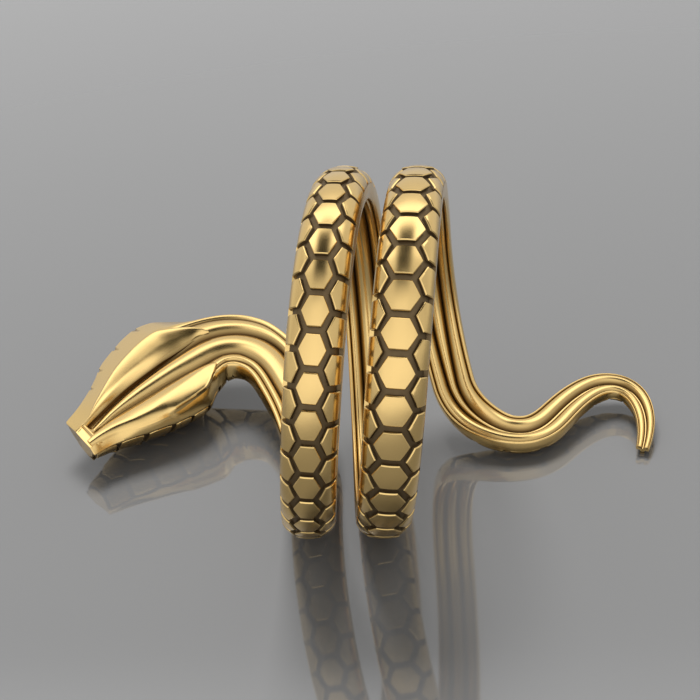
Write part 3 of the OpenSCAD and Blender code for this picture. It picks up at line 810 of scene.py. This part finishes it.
SIZE_INPUTS = {
    "Tiles": "Object", "Ruler": "Object", "Scales": "Int", "Pitch": "Float", "Puff": "Float", "Flat": "Float",
}
WRITTEN = (*TILE_VALUES, "row", "cut")
recipe = bpy.data.node_groups.new("lay_scales", "GeometryNodeTree")
for name, kind in SIZE_INPUTS.items():
    recipe.interface.new_socket(name, in_out="INPUT", socket_type="NodeSocket" + kind)
recipe.interface.new_socket("Geometry", in_out="OUTPUT", socket_type="NodeSocketGeometry")
given = recipe.nodes.new("NodeGroupInput").outputs
add = partial(node, recipe)
point = {name: add("GeometryNodeInputNamedAttribute", name, data_type="FLOAT") for name in WRITTEN}
print("the recipe takes", ", ".join(SIZE_INPUTS), "and reads", ", ".join(WRITTEN))

# %% The tiles in a row
template = add("GeometryNodeObjectInfo", given["Tiles"]).node.outputs["Geometry"]
row = add("GeometryNodeMeshLine", add("ADD", given["Scales"], 1.0), None, (0, 0, 0), (1, 0, 0))
laid = add("GeometryNodeInstanceOnPoints", row, None, template)
number = add("GeometryNodeInputIndex")
on_copies = {"data_type": "FLOAT", "domain": "INSTANCE"}
counted = add("GeometryNodeStoreNamedAttribute", laid, None, "row", number, **on_copies)
real = add("GeometryNodeRealizeInstances", counted)
# The last middle scale ends at the tip, and the side scales beside it would lie past it
is_side = add("ABSOLUTE", point["kind"])
past_tip = add("GREATER_THAN", point["row"], add("SUBTRACT", given["Scales"], 0.5))
real = add("GeometryNodeDeleteGeometry", real, add("MULTIPLY", past_tip, is_side), domain="POINT")
print("nodes that lay the row:", len(recipe.nodes))

# %% The place of every point along the body, and the ruler's values there
centre = add("MULTIPLY_ADD", is_side, 0.5, point["row"])
half_long = add("SUBTRACT", 0.5, add("DIVIDE", point["inset"], given["Pitch"]))
wanted = add("MULTIPLY_ADD", point["along"], half_long, centre)
here = add("MINIMUM", add("MAXIMUM", wanted, 0.0), given["Scales"])
from_centre = add("ABSOLUTE", add("SUBTRACT", here, centre))
ruler_mesh = add("GeometryNodeObjectInfo", given["Ruler"]).node.outputs["Geometry"]
ruler_line = add("GeometryNodeMeshToCurve", ruler_mesh)


def carried(name, at):
    """The ruler's value of this name at a place along the body."""
    value = add("GeometryNodeInputNamedAttribute", name, data_type="FLOAT_VECTOR")
    share = add("DIVIDE", at, given["Scales"])
    return add("GeometryNodeSampleCurve", ruler_line, value, share, data_type="FLOAT_VECTOR", mode="FACTOR")


looked_up = [("cell", centre), ("edge", centre), ("widths", here), ("dome", here)]
cell, edge, widths, dome = (
    add("ShaderNodeSeparateXYZ", carried(name, at)).node.outputs for name, at in looked_up
)
print("nodes with the ruler:", len(recipe.nodes))

# %% How far round the crown each point lies
# From -1 at the widest line on the far side over 0 at the crown to 1 on the near side
END_BEVEL = 5.5  # how much further the outer end of a side scale is cut back with its edge


def between(add, share, off, on):
    """A share of the way from off to on."""
    return add("MULTIPLY_ADD", share, add("SUBTRACT", on, off), off)


drawn_in = add("MULTIPLY", point["inset"], cell[2])
narrowing = add("MULTIPLY", add("MULTIPLY", cell[1], 2.0), from_centre)
middle_half = add("SUBTRACT", add("SUBTRACT", cell[0], drawn_in), narrowing)
middle = add("MULTIPLY", point["across"], middle_half)
start = add("ADD", add("ADD", add("SUBTRACT", cell[0], cell[1]), drawn_in), narrowing)
outwards = add("MULTIPLY_ADD", point["across"], 0.5, 0.5)
tooth = add("MAXIMUM", add("SUBTRACT", from_centre, TOOTH_FROM), 0.0)
bevel = add("SUBTRACT", point["inset"], EDGE_STEPS[0][0])
cut_back = add("MULTIPLY_ADD", bevel, END_BEVEL, add("DIVIDE", tooth, 0.5 - TOOTH_FROM))
end = add("SUBTRACT", edge[0], add("MULTIPLY", cut_back, edge[1]))
side = add("MULTIPLY", between(add, outwards, start, end), point["kind"])
round_crown = between(add, is_side, middle, side)
print("nodes with the way round the crown:", len(recipe.nodes))

# %% How far each point stands off the plain surface
ONLY_TOP = -0.0001  # points with more lift than this belong to the top of a tile
OUTERMOST, BURIED = 0.999, 0.03  # the outermost points of a side scale sink a little
bows = [add("SUBTRACT", 1.0, add("POWER", add("ABSOLUTE", point[way]), 2.0)) for way in ("along", "across")]
puff = add("MULTIPLY", add("MULTIPLY", *bows), given["Puff"])
lift = add("MULTIPLY_ADD", puff, add("GREATER_THAN", point["lift"], ONLY_TOP), point["lift"])
outermost = add("GREATER_THAN", add("MULTIPLY", outwards, is_side), OUTERMOST)
lift = add("ADD", lift, add("MULTIPLY", outermost, -BURIED))
print("nodes with the lift:", len(recipe.nodes))

# %% The spot of every point on the body
on_near_side = add("GREATER_THAN", round_crown, 0.0)
width = add("ADD", between(add, on_near_side, widths[1], widths[0]), lift)
turned_by = add("MULTIPLY", round_crown, math.pi / 2)
sideways = add("MULTIPLY", add("MULTIPLY", width, add("SINE", turned_by)), MM)
fall = add("POWER", add("MAXIMUM", add("COSINE", turned_by), 0.0), dome[1])
bow = add("MULTIPLY", add("MULTIPLY", add("SUBTRACT", 1.0, fall), dome[0]), given["Flat"])
kept_flat = add("MULTIPLY", bow, add("SUBTRACT", 1.0, is_side))
outward = add("ADD", add("MULTIPLY_ADD", add("ADD", dome[0], lift), fall, widths[2]), kept_flat)
spot = carried("line", here)
for name, distance in (("sideways", sideways), ("outward", add("MULTIPLY", outward, MM))):
    step = add("ShaderNodeVectorMath", carried(name, here), None, None, distance, operation="SCALE")
    spot = add("ShaderNodeVectorMath", spot, step, operation="ADD")
placed = add("GeometryNodeSetPosition", real, None, spot)
print("nodes with the spot:", len(recipe.nodes))

# %% [markdown]
# ## Gold
# The real ring is cast in 18 carat gold, and the high parts are polished by hand. The cuts
# between the scales get a rougher, dark brown gold, which is painted shade for the shade that
# falls in them. Gold is a metal, so its colour is the colour of its reflection. A very fine
# change of roughness breaks up the reflections as rubbing does.

# %% Metals, and the dark gold for painted shade
GRAIN_LOW, GRAIN_HIGH = 0.3, 0.7  # the noise between these two runs over the whole roughness
GRAIN_DETAIL = 4.0


def linear(hex_colour):
    """An sRGB hex colour as the linear numbers that shaders take."""
    values = [int(hex_colour[i : i + 2], 16) / 255 for i in (1, 3, 5)]
    return [v / 12.92 if v <= 0.04045 else ((v + 0.055) / 1.055) ** 2.4 for v in values] + [1.0]


def metal(name, colour, rough_low, rough_high, grain_mm):
    """A metal whose roughness wanders between two values over patches of a real size."""
    material = bpy.data.materials.new(name)
    material.use_nodes = True
    tree = material.node_tree
    shader = tree.nodes["Principled BSDF"]
    shader.inputs["Base Color"].default_value = linear(colour)
    shader.inputs["Metallic"].default_value = 1.0
    where = node(tree, "ShaderNodeTexCoord").node.outputs["Object"]
    grain = node(tree, "ShaderNodeTexNoise", where)
    grain.node.inputs["Scale"].default_value = 1 / (grain_mm * MM)
    grain.node.inputs["Detail"].default_value = GRAIN_DETAIL
    rough = node(tree, "ShaderNodeMapRange", grain, GRAIN_LOW, GRAIN_HIGH, rough_low, rough_high)
    tree.links.new(rough, shader.inputs["Roughness"])
    return material


# A rough, dark brown gold for the cuts: its darkness is painted shade, standing in for the
# shade that falls in them. Its grains of 0.1 mm are too fine to show, so they are drawn 0.4 mm wide
shade_gold = metal("painted_shade_gold", "#77654A", rough_low=0.5, rough_high=0.62, grain_mm=0.4)
print("material:", shade_gold.name)


# %% Polished gold
def show_painted_shade(material, colour, rough):
    """Mixes in the dark brown painted shade, with its roughness, where the point attribute says so."""
    tree = material.node_tree
    shader = tree.nodes["Principled BSDF"]
    left = node(tree, "ShaderNodeAttribute", attribute_name="skin_left").node.outputs["Fac"]
    tint = node(tree, "ShaderNodeMix", left, data_type="RGBA").node
    colours = {socket.name: socket for socket in tint.inputs if socket.type == "RGBA"}
    colours["A"].default_value = shader.inputs["Base Color"].default_value[:]
    colours["B"].default_value = linear(colour)
    tree.links.new(next(o for o in tint.outputs if o.type == "RGBA"), shader.inputs["Base Color"])
    polished = shader.inputs["Roughness"].links[0].from_socket
    tree.links.new(between(partial(node, tree), left, polished, rough), shader.inputs["Roughness"])


# The same gold, polished by hand with felt and rouge: a warm mirror with slightly soft
# reflections. The marks are finer than a hair, so they are drawn as patches 1.2 mm wide
polished_gold = metal("polished_gold", "#E7C582", rough_low=0.17, rough_high=0.23, grain_mm=1.2)
# Dark brown painted shade in the cuts of the carved face and of the jaws, from the point attribute
show_painted_shade(polished_gold, "#4E3418", rough=0.5)
print("material:", polished_gold.name)

# %% The end of the recipe: one whole mesh in its metals
SAME_SPOT = 1e-7  # points closer than this, in metres, become one
SHADE_ABOVE, MORE_SHADE_ON_HEAD = 0.5, 0.1  # faces with a higher cut value get the painted shade, and the head adds to it
merged = add("GeometryNodeMergeByDistance", placed, None, SAME_SPOT)
whole = add("GeometryNodeRealizeInstances", merged)
polished = add("GeometryNodeSetMaterial", whole, None, polished_gold)
# The tiles' walls in the grooves get the dark brown painted shade
on_head = add("MULTIPLY", add("LESS_THAN", point["row"], HEAD_ROWS), MORE_SHADE_ON_HEAD)
gets_painted_shade = add("GREATER_THAN", add("ADD", point["cut"], on_head), SHADE_ABOVE)
add("NodeGroupOutput", add("GeometryNodeSetMaterial", polished, gets_painted_shade, shade_gold))
print("nodes of the whole recipe:", len(recipe.nodes))

# %% The scales, laid and made one plain mesh
lay = bpy.data.objects.new("lay", bpy.data.meshes.new("lay"))
bpy.context.scene.collection.objects.link(lay)
modifier = lay.modifiers.new("lay", "NODES")
modifier.node_group = recipe
# Puff is the rise of a scale's middle in millimetres, and Flat the share of the
# crown's roundness that a middle scale gives up
sizes = {
    "Tiles": tiles, "Ruler": ruler_piece, "Scales": int(SCALES), "Pitch": PITCH, "Puff": 0.012, "Flat": 0.3,
}
for item in modifier.node_group.interface.items_tree:
    if item.name in sizes and item.in_out == "INPUT":
        modifier[item.identifier] = sizes[item.name]
evaluated = lay.evaluated_get(bpy.context.evaluated_depsgraph_get())
scales_mesh = bpy.data.meshes.new_from_object(evaluated)
scales_mesh.name = "snake_scales"
for name in WRITTEN:
    scales_mesh.attributes.remove(scales_mesh.attributes[name])
scales = bpy.data.objects.new("snake_scales", scales_mesh)
bpy.context.scene.collection.objects.link(scales)
for used in (lay, tiles, ruler_piece):
    bpy.data.objects.remove(used)
print("scales:", len(scales_mesh.vertices), "points,", len(scales_mesh.polygons), "faces")

# %% [markdown]
# ## Finishing the metal
# A cut edge on a ring is crisp and the metal beside it is smooth. So faces are
# shaded smooth, and lines where they meet at more than a sharp angle are kept.
# The sunk floor between the scales gets the dark brown gold, painted shade for the shade in the grooves.

# %% Smooth faces, sharp cuts and the painted shade on the floor
SHARP_DEGREES = 32


def finish_skin(piece):
    """Normals outwards, smooth faces, and sharp lines where the metal is cut."""
    built = bmesh.new()
    built.from_mesh(piece.data)
    bmesh.ops.recalc_face_normals(built, faces=built.faces)
    built.to_mesh(piece.data)
    built.free()
    piece.data.polygons.foreach_set("use_smooth", [True] * len(piece.data.polygons))
    piece.data.set_sharp_from_angle(angle=math.radians(SHARP_DEGREES))


for piece in [body, scales] + jaws:
    finish_skin(piece)
    if piece is not scales:
        piece.data.materials.append(polished_gold)
# The second material, dark brown painted shade, goes on the sunk floor between the scales
body.data.materials.append(shade_gold)
shaded_floor_faces = 0
for face in body.data.polygons:
    columns = [v % rings.shape[1] for v in face.vertices]
    if len(columns) == 4 and max(columns) <= FLOOR_POINTS:
        face.material_index = 1
        shaded_floor_faces += 1
print("cast metal on", shaded_floor_faces, "of the body's", len(body.data.polygons), "faces")

# %% [markdown]
# ## The stage
# The ring lies on its side on a smooth painted grey floor, as it rests by itself,
# and the floor mirrors it faintly. The camera stands where the photograph was
# taken from, seen from the ring.

# %% The floor
FLOOR_HALF = 1.5  # metres
# Smooth glossy paint: a soft mirror, so the ring has a faint picture of itself below it
floor_paint = bpy.data.materials.new("floor_paint")
floor_paint.use_nodes = True
floor_shader = floor_paint.node_tree.nodes["Principled BSDF"]
floor_shader.inputs["Base Color"].default_value = linear("#5E5E5E")
floor_shader.inputs["Roughness"].default_value = 0.05
floor_shader.inputs["Specular IOR Level"].default_value = 0.9
floor_mesh = bpy.data.meshes.new("floor")
corners = [(-1, -1), (1, -1), (1, 1), (-1, 1)]
floor_mesh.from_pydata([(x * FLOOR_HALF, y * FLOOR_HALF, 0) for x, y in corners], [], [(0, 1, 2, 3)])
floor_mesh.materials.append(floor_paint)
floor = bpy.data.objects.new("floor", floor_mesh)
bpy.context.scene.collection.objects.link(floor)
print("floor:", 2 * FLOOR_HALF, "m wide")

# %% The camera
LENS, SENSOR_WIDTH, CLIP_START = 59.2376, 36, 0.001
CAMERA_AT = Vector((8.8009, -58.6100, 45.3062)) * MM
LOOK = Vector((-0.117462, 0.845599, -0.520736))
RIGHT = Vector((0.991529, 0.070594, -0.109024))
UP = Vector((0.055430, 0.529131, 0.846728))
camera_data = bpy.data.cameras.new("camera")
camera_data.lens = LENS
camera_data.sensor_width = SENSOR_WIDTH
camera_data.clip_start = CLIP_START
camera = bpy.data.objects.new("camera", camera_data)
bpy.context.scene.collection.objects.link(camera)
turn = Matrix((RIGHT, UP, -LOOK)).transposed().to_4x4()
camera.matrix_world = Matrix.Translation(CAMERA_AT) @ turn
bpy.context.scene.camera = camera
print("camera:", round(CAMERA_AT.length / MM), "mm from the ring")

# %% [markdown]
# ## The light
# A polished ring shows its surroundings more than itself, so the studio matters
# more than any lamp. Its walls are an even grey, a long softbox stands high behind
# the ring, and the ceiling straight above is darker. A room could be built of
# planes, but a grey that depends on the direction alone has no edges to hide and
# no noise. Straight over the ring from back to front it follows the stops below,
# and sideways it fades to the walls. One small softbox, kept out of the gold's
# reflections, lights the floor and the dull cuts from behind.

# %% The small softbox
LAMP_AT, LAMP_SIZE, LAMP_POWER = (-0.02, 0.16, 0.38), 0.16, 2.4  # metres and watts
LAMP_AIM = (0, 0, 0.008)
lamp_data = bpy.data.lights.new("back_softbox", "AREA")
lamp_data.size = LAMP_SIZE
lamp_data.energy = LAMP_POWER
lamp = bpy.data.objects.new("back_softbox", lamp_data)
lamp.location = LAMP_AT
lamp.rotation_euler = (Vector(LAMP_AIM) - Vector(LAMP_AT)).to_track_quat("-Z", "Y").to_euler()
lamp.visible_glossy = False
bpy.context.scene.collection.objects.link(lamp)
print("lamp:", LAMP_POWER, "W at", LAMP_AT)

# %% How bright the room is
# Angle from straight up in degrees, from the back of the room over the top to the
# front, and how bright the room is there: its walls, the long softbox, and the gap
# between the softbox and the window in front
BACK = [(-180, 0.30), (-96, 0.50), (-84, 0.75), (-58, 0.80)]
FRONT = [(84, 1.20), (92, 1.05), (97, 0.30), (180, 0.30)]
WALLS = BACK + [(-40, 0.75), (0, 0.66), (50, 0.75), (84, 0.70), (92, 0.60), (97, 0.30), (180, 0.30)]
SOFTBOX = [
    *BACK, (-44, 0.95), (-38, 2.10), (-14, 2.10), (0, 1.00), (12, 0.75), (30, 0.95), (50, 1.15), (70, 1.20),
    *FRONT,
]
GAP = [
    *BACK, (-44, 0.95), (-37, 2.00), (-27, 2.00), (-18, 0.24), (-12, 0.01), (9, 0.01), (19, 0.62),
    (30, 1.10), (50, 1.20), (70, 1.25), *FRONT,
]
SOFTBOX_HALF = (0.48, 0.72)  # sideways reach, where it starts to fade and where it ends
GAP_HALF = (0.13, 0.32)
ROOM_LIGHT = 2.0  # a ramp holds no more than white, so the whole room is this much brighter
print("stops of light:", len(WALLS), "on the walls,", len(SOFTBOX), "in the softbox,", len(GAP), "in the gap")


# %% The room
def brightness_over_angle(tree, share, stops):
    """A grey that follows the stops over the share of the way from back to front."""
    ramp = node(tree, "ShaderNodeValToRGB", share)
    marks = ramp.node.color_ramp.elements
    while len(marks) < len(stops):
        marks.new(0.5)
    for mark, (degrees, light) in zip(marks, stops):
        mark.position = degrees / 360 + 0.5
        mark.color = [light / ROOM_LIGHT] * 3 + [1.0]
    return ramp


def studio_light():
    """A world that is brighter and darker by the angle from straight up."""
    world = bpy.data.worlds.new("studio")
    world.use_nodes = True
    tree = world.node_tree
    add = partial(node, tree)
    way = add("ShaderNodeSeparateXYZ", add("ShaderNodeTexCoord")).node.outputs
    angle = add("ARCTAN2", add("MULTIPLY", way[1], -1.0), way[2])
    share = add("MULTIPLY_ADD", angle, 0.5 / math.pi, 0.5)
    sideways = add("ABSOLUTE", way[0])
    room = brightness_over_angle(tree, share, WALLS)
    for stops, reach in ((SOFTBOX, SOFTBOX_HALF), (GAP, GAP_HALF)):
        fade = add("ShaderNodeMapRange", sideways, *reach, 1.0, 0.0, interpolation_type="SMOOTHSTEP")
        room = between(add, fade, room, brightness_over_angle(tree, share, stops))
    background = tree.nodes["Background"]
    tree.links.new(room, background.inputs[0])
    background.inputs[1].default_value = ROOM_LIGHT
    return world


bpy.context.scene.world = studio_light()
bpy.context.scene.view_settings.view_transform = "Standard"
print("room:", len(bpy.context.scene.world.node_tree.nodes), "nodes")

# %% [markdown]
# ## Joining the frame
# All pieces are one casting with the CAD node, so they ride on its one body and
# stand for its one node.

# %% The pieces ride on the CAD's body, and the CAD part is hidden
for piece in [body, scales] + jaws:
    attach(piece, "root")
    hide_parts("snake")
